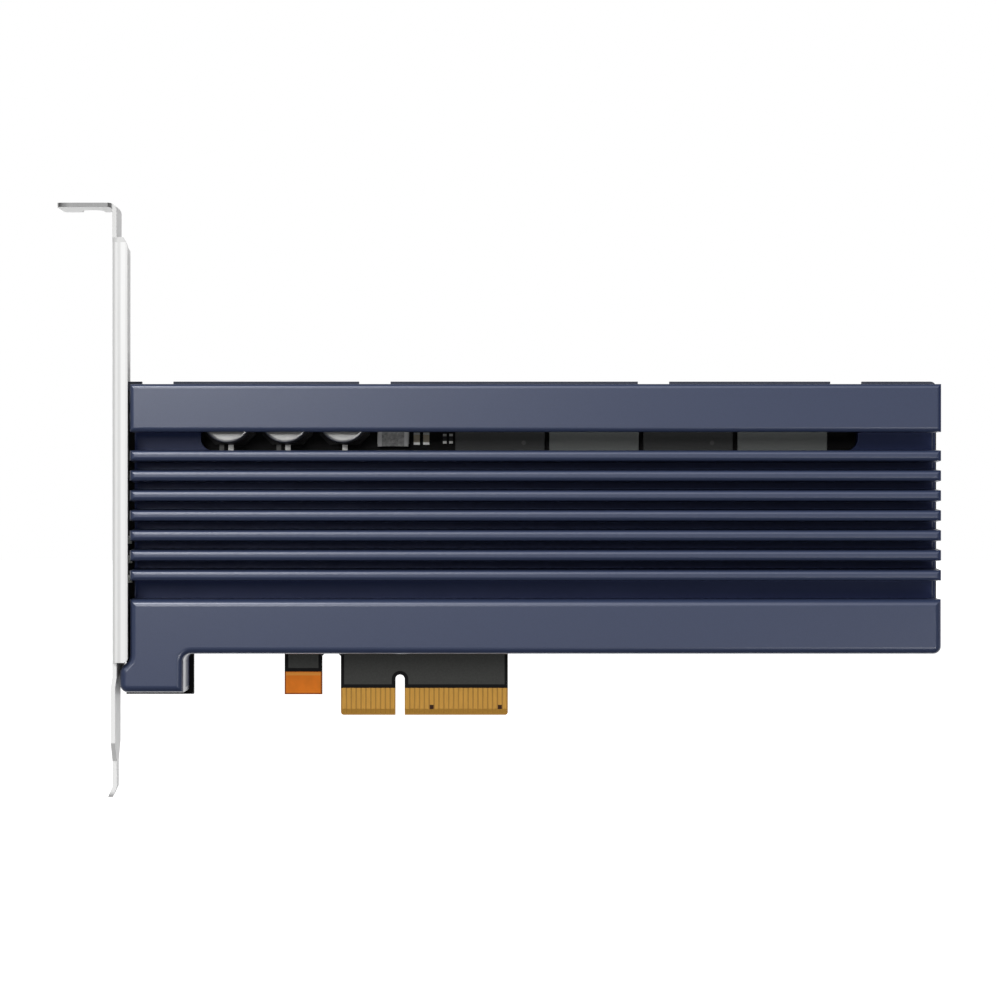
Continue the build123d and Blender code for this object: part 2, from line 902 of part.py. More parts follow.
# Controller: a board-like carrier with a raised lid, and a pad between the lid and the base
controller_centre = (controller_x, controller_z)
with BuildPart() as controller:
    with BuildSketch(front(0)):
        with Locations(controller_centre):
            Rectangle(controller_size, controller_size)
    extrude(amount=controller_thickness - controller_lid)
    with BuildSketch(front(controller_thickness - controller_lid)):
        with Locations(controller_centre):
            RectangleRounded(controller_size - controller_step, controller_size - controller_step, lid_corner)
    extrude(amount=controller_lid)
finish(controller.part, "controller")
controller_pad = slab(
    front(controller_thickness),
    controller_centre,
    controller_size - 2 * controller_step,
    controller_size - 2 * controller_step,
    base_underside - controller_thickness,
)
finish(controller_pad, "controller_pad")

for number in range(dram_count):
    dram_place = (dram_x, dram_low_z + number * dram_pitch)
    dram = slab(front(0), dram_place, dram_width, dram_height, dram_thickness, package_chamfer)
    finish(dram, f"dram_{number + 1}")
    dram_pad = slab(
        front(dram_thickness), dram_place, dram_width, dram_height, base_underside - dram_thickness
    )
    finish(dram_pad, f"dram_pad_{number + 1}")

# Capacitor cans: a moulded base, a turned can with a crimped groove, and two flat leads under the base
for number in range(can_count):
    can_x = can_first_centre + number * can_pitch
    with BuildPart() as can_base:
        with BuildSketch(front(lead_thickness)) as base_square:
            with Locations((can_x, can_centre_z)):
                Rectangle(can_base_size, can_base_size)
            chamfer(base_square.vertices().group_by(Axis.Y)[0], can_base_chamfer)
        extrude(amount=can_base_height)
    finish(can_base.part, f"capacitor_base_{number + 1}")

    can_low = lead_thickness + can_base_height
    can_radius = can_diameter / 2
    with BuildPart() as can:
        with BuildSketch(Plane(origin=(can_x, 0, can_centre_z), x_dir=(1, 0, 0), z_dir=(0, 0, 1))) as can_section:
            with BuildLine():
                Polyline(
                    (0, -(half_board + can_low)),
                    (can_radius, -(half_board + can_low)),
                    (can_radius, -(half_board + can_height)),
                    (0, -(half_board + can_height)),
                    close=True,
                )
            make_face()
            fillet(corners(can_section, (can_radius, -(half_board + can_height))), can_edge_radius)
            with Locations((can_radius + can_groove_radius / 2, -(half_board + can_groove_rise))):
                Circle(can_groove_radius, mode=Mode.SUBTRACT)
        revolve(axis=Axis((can_x, 0, can_centre_z), (0, 1, 0)))
    finish(can.part, f"capacitor_can_{number + 1}")

    with BuildPart() as leads:
        with BuildSketch(front(0)):
            with Locations((can_x, can_centre_z - lead_reach / 2)):
                Rectangle(lead_width, can_base_size + lead_reach)
                Rectangle(2 * lead_width, can_base_size + lead_reach - 2 * lead_length, mode=Mode.SUBTRACT)
        extrude(amount=lead_thickness)
    finish(leads.part, f"capacitor_leads_{number + 1}")

# Moulded capacitor beside the cans, its two end terminals folded under it
moulded_centre = (moulded_x, moulded_z)
moulded_body = slab(
    front(moulded_skin),
    moulded_centre,
    moulded_length - 2 * moulded_skin,
    moulded_width,
    moulded_height - moulded_skin,
    package_chamfer,
)
finish(moulded_body, "moulded_capacitor")
with BuildPart() as moulded_ends:
    with BuildSketch(front(0)):
        with Locations(moulded_centre):
            Rectangle(moulded_length, moulded_width - moulded_end)
            Rectangle(moulded_length - 2 * moulded_skin, moulded_width, mode=Mode.SUBTRACT)
    extrude(amount=moulded_height / 2)
    with BuildSketch(front(0)):
        with Locations(moulded_centre):
            Rectangle(moulded_length, moulded_width - moulded_end)
            Rectangle(moulded_length - 2 * moulded_end, moulded_width, mode=Mode.SUBTRACT)
    extrude(amount=moulded_skin)
finish(moulded_ends.part, "moulded_capacitor_ends")


def chip_bodies(places, length, width, thickness):
    """The bodies of small chip parts that lie across the board's length, between their end terminals."""
    with BuildPart() as bodies:
        with BuildSketch(front(chip_skin)):
            with Locations(*places):
                Rectangle(width, length - 2 * chip_end)
        extrude(amount=thickness - 2 * chip_skin)
    return bodies.part


def chip_places(first, pitch, count):
    """The centres of a row of chip parts."""
    return [(first + number * pitch, chip_row_z) for number in range(count)]


capacitor_places = chip_places(chip_capacitor_first, chip_capacitor_pitch, chip_capacitor_count)
last_resistor = row_start - chip_resistor_gap - chip_resistor_width / 2
resistor_places = chip_places(last_resistor, -chip_resistor_pitch, chip_resistor_count)
chip_capacitors = chip_bodies(
    capacitor_places, chip_capacitor_length, chip_capacitor_width, chip_capacitor_thickness
)
finish(chip_capacitors, "chip_capacitors")
chip_resistors = chip_bodies(resistor_places, chip_resistor_length, chip_resistor_width, chip_resistor_thickness)
finish(chip_resistors, "chip_resistors")
with BuildPart() as chip_ends:
    for places, length, width, thickness in (
        (capacitor_places, chip_capacitor_length, chip_capacitor_width, chip_capacitor_thickness),
        (resistor_places, chip_resistor_length, chip_resistor_width, chip_resistor_thickness),
    ):
        with BuildSketch(front(0)):
            with Locations(*places):
                Rectangle(width, length)
                Rectangle(width, length - 2 * chip_end, mode=Mode.SUBTRACT)
        extrude(amount=thickness)
finish(chip_ends.part, "chip_ends")

# Power parts behind the bottom rail, the crystal by the controller, and the status lights by the bracket
for number in range(inductor_count):
    with BuildPart() as inductor:
        with BuildSketch(front(0)) as inductor_outline:
            with Locations((inductor_first + number * inductor_pitch, power_row)):
                Rectangle(inductor_size, inductor_size)
            chamfer(inductor_outline.vertices(), inductor_chamfer)
        extrude(amount=inductor_height)
    finish(inductor.part, f"power_inductor_{number + 1}")
for number in range(regulator_count):
    regulator_place = (inductor_first + (number + 1 / 2) * inductor_pitch, power_row)
    regulator = slab(front(0), regulator_place, regulator_width, regulator_height, regulator_thickness)
    finish(regulator, f"regulator_{number + 1}")
crystal = slab(front(0), (crystal_x, crystal_z), crystal_width, crystal_height, crystal_thickness, package_chamfer)
finish(crystal, "crystal")
with BuildPart() as status_lights:
    with BuildSketch(front(0)):
        with Locations(*[(board_left + light_width / 2, place) for place in light_places]):
            Rectangle(light_width, light_height)
    extrude(amount=light_thickness)
finish(status_lights.part, "status_lights")
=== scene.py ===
import json
import math

import bpy
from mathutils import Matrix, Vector


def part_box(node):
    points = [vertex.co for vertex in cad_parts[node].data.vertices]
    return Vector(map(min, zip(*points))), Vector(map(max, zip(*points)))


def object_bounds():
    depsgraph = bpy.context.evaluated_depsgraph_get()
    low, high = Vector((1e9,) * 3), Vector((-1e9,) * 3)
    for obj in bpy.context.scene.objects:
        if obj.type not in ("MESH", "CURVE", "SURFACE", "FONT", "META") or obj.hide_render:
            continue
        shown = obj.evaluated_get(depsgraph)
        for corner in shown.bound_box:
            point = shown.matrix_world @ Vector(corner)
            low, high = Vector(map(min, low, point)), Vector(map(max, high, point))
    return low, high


# A solid state drive card seen square to its component side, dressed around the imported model.
# Lengths are in metres, in the model's own frame: +X away from the bracket, +Z up, the heatsink facing -Y.
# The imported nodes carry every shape: the scene adds their finishes, a floor, the light and the camera.

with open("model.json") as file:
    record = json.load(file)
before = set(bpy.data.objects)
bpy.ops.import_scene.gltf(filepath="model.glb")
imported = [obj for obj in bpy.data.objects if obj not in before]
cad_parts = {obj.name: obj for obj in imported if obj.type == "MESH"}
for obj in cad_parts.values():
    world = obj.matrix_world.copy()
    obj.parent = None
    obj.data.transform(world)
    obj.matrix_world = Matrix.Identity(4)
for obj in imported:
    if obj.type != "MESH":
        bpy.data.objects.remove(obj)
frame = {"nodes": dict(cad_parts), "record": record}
nodes = frame["nodes"]
scene = bpy.context.scene
cad_low, cad_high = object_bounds()

MM = 0.001
BEYOND = 1.0  # farther out along any axis than any point of the card
WHITE = (1.0, 1.0, 1.0, 1.0)

board_low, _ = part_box("pcb")
gold_low, gold_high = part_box("contacts_front")
sink_low, sink_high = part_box("heatsink")
tape_low, tape_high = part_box("tab_tape")
board_face = board_low.y


# Camera: level and square to the board, at the photograph's distance and scale
PHOTO_SIDE = 999
PIXELS_PER_METRE = 4869.0
VIEW_DISTANCE = 0.700
VIEW_X = 20.43 * MM
VIEW_Z = 44.26 * MM
SENSOR_WIDTH = 36.0
CLIP_NEAR = 0.05
CLIP_FAR = 20.0


def make_camera():
    """The camera looks along +Y, with its axis through the middle of the photograph."""
    data = bpy.data.cameras.new("camera")
    data.sensor_width = SENSOR_WIDTH
    data.lens = SENSOR_WIDTH * VIEW_DISTANCE * PIXELS_PER_METRE / PHOTO_SIDE
    data.clip_start = CLIP_NEAR
    data.clip_end = CLIP_FAR
    camera = bpy.data.objects.new("camera", data)
    camera.location = (VIEW_X, board_face - VIEW_DISTANCE, VIEW_Z)
    camera.rotation_euler = (math.pi / 2, 0, 0)
    scene.collection.objects.link(camera)
    scene.camera = camera


# Lamps: a long soft one above, a soft panel to the upper left that lays a sheen on the rails' left ends,
# and a weak one to the lower right
LAMPS = {
    "lamp_above": {"place": (-0.34, -0.62, 0.80), "size": (0.46, 0.26), "power": 5.6},
    "panel_left": {"place": (-0.31, -1.50, 0.40), "size": (0.42, 0.42), "power": 4.4},
    "panel_right": {"place": (0.50, -1.35, -0.38), "size": (0.35, 0.35), "power": 2.4},
}


def make_lamps():
    """The studio's lamps, each turned to the middle of the card."""
    aim = Vector((VIEW_X, board_face, VIEW_Z))
    for name, lamp in LAMPS.items():
        data = bpy.data.lights.new(name, "AREA")
        data.shape = "RECTANGLE"
        data.size, data.size_y = lamp["size"]
        data.energy = lamp["power"]
        made = bpy.data.objects.new(name, data)
        made.location = lamp["place"]
        made.rotation_euler = (aim - made.location).to_track_quat("-Z", "Y").to_euler()
        scene.collection.objects.link(made)


# Surroundings: white to the camera. Reflections show the white backdrop behind the card and the studio in
# front of it, which is bright above, dim at the card's level, and dark to the sides and below. All other
# light is a plain soft sky, darker below.
SKY = 0.63
SKY_BELOW = 0.22
STUDIO_FRONT = 0.07
STUDIO_ABOVE = 2.20
STUDIO_ABOVE_RIGHT = 0.30  # share of the light above that is left on the right side
STUDIO_SIDES = 0.03

# The spans of a direction's coordinates over which they change
BACKDROP_Y = (0.80, 1.00)
FRONT_Y = (-0.85, -0.20)
LEVEL_Z = (-0.60, 0.00)
ABOVE_Z = (0.20, 0.70)
RIGHT_X = (-0.30, 0.25)
SKY_Z = (-0.85, -0.15)


def value_of(tree, operation, *inputs):
    """A math node's result, from sockets or plain numbers."""
    made = tree.nodes.new("ShaderNodeMath")
    made.operation = operation
    for socket, value in zip(made.inputs, inputs):
        if isinstance(value, (int, float)):
            socket.default_value = value
        else:
            tree.links.new(value, socket)
    return made.outputs[0]


def mapped(tree, value, span, low, high, course="LINEAR"):
    """Goes from low to high while a value crosses a span."""
    made = tree.nodes.new("ShaderNodeMapRange")
    made.interpolation_type = course
    limits = {"From Min": span[0], "From Max": span[1], "To Min": low, "To Max": high}
    for socket, number in limits.items():
        made.inputs[socket].default_value = number
    tree.links.new(value, made.inputs["Value"])
    return made.outputs["Result"]


def eased(tree, value, span, low, high):
    """Goes from low to high with a soft start and end."""
    return mapped(tree, value, span, low, high, "SMOOTHSTEP")


def shown_rays(tree, path):
    """A value of 1 for camera, glossy and transmission rays, and 0 for the others."""
    seen = value_of(tree, "MAXIMUM", path.outputs["Is Camera Ray"], path.outputs["Is Glossy Ray"])
    return value_of(tree, "MAXIMUM", seen, path.outputs["Is Transmission Ray"])


def reflected_light(tree, direction):
    """What reflections show in a direction: the backdrop behind the card, or the studio in front."""
    backdrop = eased(tree, direction["Y"], BACKDROP_Y, 0.0, 1.0)
    front = eased(tree, direction["Y"], FRONT_Y, 1.0, 0.0)
    level = eased(tree, direction["Z"], LEVEL_Z, STUDIO_SIDES, STUDIO_FRONT)
    above = value_of(
        tree, "MULTIPLY",
        eased(tree, direction["Z"], ABOVE_Z, 0.0, STUDIO_ABOVE),
        eased(tree, direction["X"], RIGHT_X, 1.0, STUDIO_ABOVE_RIGHT),
    )
    studio = value_of(tree, "MULTIPLY", front, value_of(tree, "ADD", level, above))
    return value_of(tree, "MAXIMUM", backdrop, value_of(tree, "MAXIMUM", studio, STUDIO_SIDES))


def make_world():
    """The surroundings, as one strength of white that depends on the ray's kind and direction."""
    world = bpy.data.worlds.new("surroundings")
    scene.world = world
    world.use_nodes = True
    tree = world.node_tree
    tree.nodes.clear()
    split = tree.nodes.new("ShaderNodeSeparateXYZ")
    tree.links.new(tree.nodes.new("ShaderNodeTexCoord").outputs["Generated"], split.inputs[0])
    direction = split.outputs
    path = tree.nodes.new("ShaderNodeLightPath")
    glossy = path.outputs["Is Glossy Ray"]
    shown = shown_rays(tree, path)
    white = value_of(tree, "SUBTRACT", shown, glossy)
    mirrored = value_of(tree, "MULTIPLY", glossy, reflected_light(tree, direction))
    sky = eased(tree, direction["Z"], SKY_Z, SKY_BELOW, SKY)
    rest = value_of(tree, "MULTIPLY", value_of(tree, "SUBTRACT", 1.0, shown), sky)
    strength = value_of(tree, "ADD", value_of(tree, "ADD", white, mirrored), rest)
    background = tree.nodes.new("ShaderNodeBackground")
    background.inputs["Color"].default_value = WHITE
    output = tree.nodes.new("ShaderNodeOutputWorld")
    tree.links.new(strength, background.inputs["Strength"])
    tree.links.new(background.outputs[0], output.inputs["Surface"])


# Floor: pale, below and behind the card, lit up to white but for the card's shadow
FLOOR_GAP = 60 * MM
FLOOR_FRONT = 0.04
FLOOR_REACH = 6.0
FLOOR_ALBEDO = 0.80
FLOOR_GLOW = 0.75


def floor_material():
    """A pale matte floor that glows for the rays that show the background."""
    material = bpy.data.materials.new("floor")
    material.use_nodes = True
    tree = material.node_tree
    tree.nodes.clear()
    diffuse = tree.nodes.new("ShaderNodeBsdfDiffuse")
    diffuse.inputs["Color"].default_value = (FLOOR_ALBEDO, FLOOR_ALBEDO, FLOOR_ALBEDO, 1)
    glow = tree.nodes.new("ShaderNodeEmission")
    glow.inputs["Color"].default_value = WHITE
    shown = shown_rays(tree, tree.nodes.new("ShaderNodeLightPath"))
    tree.links.new(value_of(tree, "MULTIPLY", shown, FLOOR_GLOW), glow.inputs["Strength"])
    both = tree.nodes.new("ShaderNodeAddShader")
    output = tree.nodes.new("ShaderNodeOutputMaterial")
    tree.links.new(diffuse.outputs[0], both.inputs[0])
    tree.links.new(glow.outputs[0], both.inputs[1])
    tree.links.new(both.outputs[0], output.inputs["Surface"])
    return material


def make_floor():
    """A plain floor."""
    mesh = bpy.data.meshes.new("floor")
    left, right, front, back = -FLOOR_REACH, FLOOR_REACH, FLOOR_FRONT, FLOOR_REACH
    corners = [(left, front, 0), (right, front, 0), (right, back, 0), (left, back, 0)]
    mesh.from_pydata(corners, [], [(0, 1, 2, 3)])
    mesh.materials.append(floor_material())
    floor = bpy.data.objects.new("floor", mesh)
    floor.location.z = cad_low.z - FLOOR_GAP
    scene.collection.objects.link(floor)


# Materials: each is one function, built on a shader with its plain values set on its own sockets.
# A zone is a value of 1 on a part of the surface and 0 elsewhere, with a slightly soft edge.
ZONE_BLUR = 0.12 * MM
NOISE_SPAN = (0.3, 0.7)  # the values that noise mostly takes
COLOUR_A, COLOUR_B, COLOUR_RESULT = 6, 7, 2  # a Mix node's colour sockets share their names with others


class Surface:
    """A material with one shader, and short calls for the nodes that vary its colour, gloss and relief."""

    def __init__(self, name, colour, roughness, metallic=0.0, **sockets):
        self.material = bpy.data.materials.new(name)
        self.material.use_nodes = True
        self.tree = self.material.node_tree
        self.shader = self.tree.nodes["Principled BSDF"]
        self.colour = (*colour, 1.0)
        self.shader.inputs["Base Color"].default_value = self.colour
        self.shader.inputs["Roughness"].default_value = roughness
        self.shader.inputs["Metallic"].default_value = metallic
        for socket, value in sockets.items():
            self.shader.inputs[socket.replace("_", " ")].default_value = value
        self.material.diffuse_color = self.colour

    def node(self, kind):
        """A new node."""
        return self.tree.nodes.new(kind)

    def link(self, source, target):
        """Joins two sockets."""
        self.tree.links.new(source, target)

    def feed(self, socket, source):
        """Feeds a socket of the shader."""
        self.link(source, self.shader.inputs[socket])

    def value(self, operation, *inputs):
        """A math node's result."""
        return value_of(self.tree, operation, *inputs)

    def coordinate(self, axis):
        """One of the object's own coordinates, in metres."""
        split = self.node("ShaderNodeSeparateXYZ")
        self.link(self.node("ShaderNodeTexCoord").outputs["Object"], split.inputs[0])
        return split.outputs[axis]

    def noise(self, grain, detail=2.0, stretch=(1, 1, 1)):
        """Noise whose lumps are about one grain across, or longer along axes scaled by less than 1."""
        mapping = self.node("ShaderNodeMapping")
        mapping.inputs["Scale"].default_value = stretch
        self.link(self.node("ShaderNodeTexCoord").outputs["Object"], mapping.inputs["Vector"])
        noise = self.node("ShaderNodeTexNoise")
        noise.inputs["Scale"].default_value = 1 / grain
        noise.inputs["Detail"].default_value = detail
        self.link(mapping.outputs["Vector"], noise.inputs["Vector"])
        return noise.outputs["Fac"]

    def spread(self, factor, low, high, span=NOISE_SPAN):
        """Goes evenly from low to high while a factor crosses a span."""
        return mapped(self.tree, factor, span, low, high)

    def two_colours(self, factor, first, second):
        """Colour that goes from first to second with a factor."""
        mix = self.node("ShaderNodeMix")
        mix.data_type = "RGBA"
        self.link(factor, mix.inputs["Factor"])
        for number, colour in ((COLOUR_A, first), (COLOUR_B, second)):
            if isinstance(colour, tuple):
                mix.inputs[number].default_value = colour
            else:
                self.link(colour, mix.inputs[number])
        return mix.outputs[COLOUR_RESULT]

    def shade(self, factor, amount):
        """The base colour, made darker and lighter by an amount as a factor varies."""
        dark = tuple(c * (1 - amount) for c in self.colour[:3]) + (1.0,)
        light = tuple(min(1.0, c * (1 + amount)) for c in self.colour[:3]) + (1.0,)
        return self.two_colours(self.spread(factor, 0.0, 1.0), dark, light)

    def bump(self, height, depth):
        """Relief of a real depth."""
        bump = self.node("ShaderNodeBump")
        bump.inputs["Distance"].default_value = depth
        self.link(height, bump.inputs["Height"])
        self.feed("Normal", bump.outputs["Normal"])

    def above(self, value, bound, blur=ZONE_BLUR):
        """Zone where a value is over a bound."""
        return self.spread(value, 0.0, 1.0, (bound - blur / 2, bound + blur / 2))

    def below(self, value, bound, blur=ZONE_BLUR):
        """Zone where a value is under a bound."""
        return self.spread(value, 1.0, 0.0, (bound - blur / 2, bound + blur / 2))

    def both(self, first, second):
        """Zone where two zones overlap."""
        return self.value("MULTIPLY", first, second)

    def either(self, first, second):
        """Zone that two zones cover together."""
        return self.value("MAXIMUM", first, second)

    def inside(self, axis, low, high, blur=ZONE_BLUR):
        """Zone where a coordinate lies between two bounds."""
        place = self.coordinate(axis)
        return self.both(self.above(place, low, blur), self.below(place, high, blur))

    def rectangle(self, low_x, high_x, low_z, high_z):
        """Zone inside an upright rectangle, seen from the front."""
        return self.both(self.inside("X", low_x, high_x), self.inside("Z", low_z, high_z))

    def distance(self, across, up):
        """How far it is to a point that lies so far across and so far up."""
        squares = [self.value("MULTIPLY", step, step) for step in (across, up)]
        return self.value("SQRT", self.value("ADD", *squares))

    def disc(self, centre_x, centre_z, radius, blur):
        """Zone inside a disc, seen from the front."""
        across = self.value("SUBTRACT", self.coordinate("X"), centre_x)
        up = self.value("SUBTRACT", self.coordinate("Z"), centre_z)
        return self.below(self.distance(across, up), radius, blur)


# Painted shade: the floors of the heatsink's recesses and its right end get a darker, bluer colour and less
# coat. In a recess that sets in between two depths, measured forward from the board's face.
RECESS_SHADE_BLUE = (0.014, 0.026, 0.098, 1.0)
RECESS_COAT = 0.15
RECESS_STARTS = 10.0 * MM
RECESS_ENDS = 6.4 * MM
OUTER_SKIN = 0.8 * MM
END_SKIN = 0.42 * MM
END_BLUR = 0.24 * MM


def blue_anodised():
    """Bead-blasted aluminium under a blue-grey anodic film, with painted shade in its recesses and on its
    right end.
    """
    surface = Surface(
        "blue_anodised", (0.032, 0.047, 0.105), roughness=0.50, metallic=0.25,
        Specular_IOR_Level=0.2, Coat_Weight=1.0, Coat_Roughness=0.28, Coat_IOR=1.75,
    )
    depths = (board_face - RECESS_STARTS, board_face - RECESS_ENDS)
    deep = surface.spread(surface.coordinate("Y"), 0.0, 1.0, depths)
    between_walls = surface.rectangle(
        sink_low.x + OUTER_SKIN, sink_high.x - OUTER_SKIN,
        sink_low.z + OUTER_SKIN, sink_high.z - OUTER_SKIN,
    )
    right_end = surface.inside("X", sink_high.x - END_SKIN, BEYOND, END_BLUR)
    not_backplate = surface.inside("Y", -BEYOND, board_face + ZONE_BLUR)
    # Painted shade: the recess floors and the right end, kept off the backplate
    dark = surface.either(surface.both(deep, between_walls), right_end)
    dark = surface.both(dark, not_backplate)
    grain = surface.noise(grain=0.16 * MM, detail=3.0)
    cloud = surface.noise(grain=9.0 * MM)
    surface.feed("Base Color", surface.two_colours(dark, surface.shade(grain, amount=0.10), RECESS_SHADE_BLUE))
    surface.feed("Roughness", surface.spread(cloud, low=0.47, high=0.53))
    surface.feed("Coat Weight", surface.spread(dark, 1.0, RECESS_COAT, span=(0.0, 1.0)))
    surface.bump(grain, depth=0.010 * MM)
    return surface.material


# Painted shade on the bracket's front flange, in upright bands that are given in X from the bracket's outer
# face:
# over its bend, along a line beside it, and along its lip
PLATED = (0.78, 0.78, 0.775)
SHADE_BANDS = {
    "bend": {"start": -0.30 * MM, "end": 0.45 * MM, "level": 0.56},
    "line": {"start": 1.10 * MM, "end": 1.75 * MM, "level": 0.80},
    "lip": {"start": 2.75 * MM, "end": 3.60 * MM, "level": 0.86},
}
BAND_BLUR = 0.35 * MM
FRONT_SKIN = 0.45 * MM
BRACKET_SHEET = 0.86 * MM
BOARD_GAP = 0.44 * MM

# Painted light makes the far flange lighter. The neck and the screw tab show the sheet's cut front edge,
# which is greyer on the tab, where the grey is painted shade, and darkest at the tab's bend, where a shadow
# is painted, and at its free end.
FAR_PAINTED_LIGHT = (0.94, 0.94, 0.935, 1.0)
FAR_SKIN = 1.2 * BRACKET_SHEET
NECK_EDGE = (0.62, 0.62, 0.615, 1.0)
FLANGE_TOP = 96.0 * MM
TAB_EDGE_SHADE = (0.29, 0.29, 0.29, 1.0)
TAB_SKIN = 1.6 * BRACKET_SHEET
TAB_BEND_SHADOW_AND_DARK_END = (0.06, 0.06, 0.06, 1.0)
TAB_BEND = (0.94 * MM, 0.19 * MM)
TAB_END = 1.4 * MM
TAB_END_BLUR = 2.2 * MM


def bright_nickel():
    """Steel sheet with bright plating over faint rolling lines, with painted shade in bands on the front
    flange and on the tab's cut edge, a painted shadow at the tab's bend, painted light on the far flange,
    and darker towards the tab's free end.
    """
    surface = Surface("bright_nickel", PLATED, roughness=0.44, metallic=0.15)
    bracket_low, bracket_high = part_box("bracket")
    outer = board_low.x - BOARD_GAP - BRACKET_SHEET
    colour = surface.colour
    front = surface.inside("Y", -BEYOND, bracket_low.y + FRONT_SKIN)
    # Painted shade in upright bands on the front flange
    for band in SHADE_BANDS.values():
        across = surface.inside("X", outer + band["start"], outer + band["end"], BAND_BLUR)
        shaded_plating = tuple(value * band["level"] for value in PLATED) + (1.0,)
        colour = surface.two_colours(surface.both(front, across), colour, shaded_plating)
    # Painted light on the far flange
    far_flange = surface.inside("Y", bracket_high.y - FAR_SKIN, BEYOND)
    colour = surface.two_colours(far_flange, colour, FAR_PAINTED_LIGHT)
    cut_edge = surface.inside("Y", -BEYOND, bracket_low.y + BRACKET_SHEET + FRONT_SKIN)
    neck = surface.both(cut_edge, surface.inside("Z", FLANGE_TOP, BEYOND))
    colour = surface.two_colours(neck, colour, NECK_EDGE)
    # Painted shade on the screw tab's cut edge
    top = surface.both(cut_edge, surface.inside("Z", bracket_high.z - TAB_SKIN, BEYOND))
    tab = surface.both(top, surface.inside("X", -BEYOND, outer))
    colour = surface.two_colours(tab, colour, TAB_EDGE_SHADE)
    # Painted shadow at the tab's bend, and darker towards its free end
    bend = surface.inside("X", outer - TAB_BEND[0], outer - TAB_BEND[1])
    free_end = surface.inside("X", -BEYOND, bracket_low.x + TAB_END, TAB_END_BLUR)
    dark = surface.both(top, surface.either(bend, free_end))
    surface.feed("Base Color", surface.two_colours(dark, colour, TAB_BEND_SHADOW_AND_DARK_END))
    lines = surface.noise(grain=0.25 * MM, stretch=(1, 1, 0.02))
    surface.feed("Roughness", surface.spread(lines, low=0.40, high=0.50))
    surface.bump(lines, depth=0.004 * MM)
    return surface.material


# The copper under the board's mask stops short of every edge, of the contacts and of the key notch. The
# card edge reaches a little past its outer contacts.
BARE_MASK = (0.0015, 0.0015, 0.0020, 1.0)
COPPER_MARGIN = 0.75 * MM
COPPER_END_GAP = 0.75 * MM
COPPER_REACH = 10.0 * MM
KEY_WIDTH = 1.90 * MM
KEY_TOP = 8.30 * MM
CONTACT_MARGIN = 0.375 * MM
edge_left = gold_low.x - CONTACT_MARGIN
edge_right = gold_high.x + CONTACT_MARGIN

# The laminate is bare between the contacts, and in the gaps of the two short ones
LAMINATE = (0.50, 0.25, 0.045, 1.0)
LAMINATE_REACH = 1.0 * MM
SHORT_GAP_LAMINATE = (0.05, 0.015, 0.003, 1.0)
SHORT_CONTACTS = (6.5 * MM, 20.5 * MM)
SHORT_GAP = (1.20 * MM, 2.10 * MM)
SHORT_HALF = 0.42 * MM

# The strip that shows above the heatsink is bluer, and tinned pads lie left of two of the capacitors' leads
TOP_STRIP = (0.045, 0.052, 0.085, 1.0)
TOP_STRIP_DEPTH = 1.0 * MM
TOP_STRIP_SHARE = 0.7
PAD_TINNED = (0.34, 0.34, 0.33, 1.0)
PAD_OFFSET = 1.90 * MM
PAD_WIDTH = 0.95 * MM
PAD_HEIGHT = 1.60 * MM
PADDED_LEADS = ("capacitor_leads_1", "capacitor_leads_2")


def key_zone(surface):
    """Zone round the key notch, which stands at X = 0 and is round at its top."""
    over = surface.value("SUBTRACT", surface.coordinate("Z"), KEY_TOP - KEY_WIDTH / 2)
    distance = surface.distance(surface.coordinate("X"), surface.value("MAXIMUM", over, 0.0))
    return surface.below(distance, KEY_WIDTH / 2 + COPPER_MARGIN)


def copper_zone(surface):
    """Zone where copper lies under the mask, below the heatsink and above it."""
    top = sink_low.z + COPPER_REACH
    card_edge = surface.rectangle(
        edge_left + COPPER_MARGIN, edge_right - COPPER_MARGIN, gold_high.z + COPPER_END_GAP, top
    )
    small_tab = surface.rectangle(
        tape_low.x + COPPER_MARGIN, tape_high.x - COPPER_MARGIN, tape_high.z + COPPER_END_GAP, top
    )
    above_sink = surface.inside("Z", sink_high.z - COPPER_MARGIN, BEYOND)
    copper = surface.either(surface.either(card_edge, small_tab), above_sink)
    return surface.both(copper, surface.value("SUBTRACT", 1.0, key_zone(surface)))


def board_mask():
    """Dark solder mask, darker where no copper lies under it, and bare laminate between the contacts."""
    surface = Surface("board_mask", (0.057, 0.058, 0.054), roughness=0.50, Specular_IOR_Level=0.2)
    weave = surface.noise(grain=0.35 * MM, detail=1.0)
    surface.bump(weave, depth=0.006 * MM)
    over_copper = surface.shade(weave, amount=0.08)
    colour = surface.two_colours(copper_zone(surface), BARE_MASK, over_copper)
    top = surface.inside("Z", sink_high.z - TOP_STRIP_DEPTH, BEYOND)
    colour = surface.two_colours(surface.value("MULTIPLY", top, TOP_STRIP_SHARE), colour, TOP_STRIP)
    laminate = surface.rectangle(
        edge_left - LAMINATE_REACH, edge_right + LAMINATE_REACH, -BEYOND, gold_high.z
    )
    colour = surface.two_colours(laminate, colour, LAMINATE)
    for node in PADDED_LEADS:
        low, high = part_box(node)
        left = (low.x + high.x) / 2 - PAD_OFFSET - PAD_WIDTH / 2
        pad = surface.rectangle(left, left + PAD_WIDTH, low.z, low.z + PAD_HEIGHT)
        colour = surface.two_colours(pad, colour, PAD_TINNED)
    for place in SHORT_CONTACTS:
        gap = surface.rectangle(place - SHORT_HALF, place + SHORT_HALF, *SHORT_GAP)
        colour = surface.two_colours(gap, colour, SHORT_GAP_LAMINATE)
    surface.feed("Base Color", colour)
    return surface.material


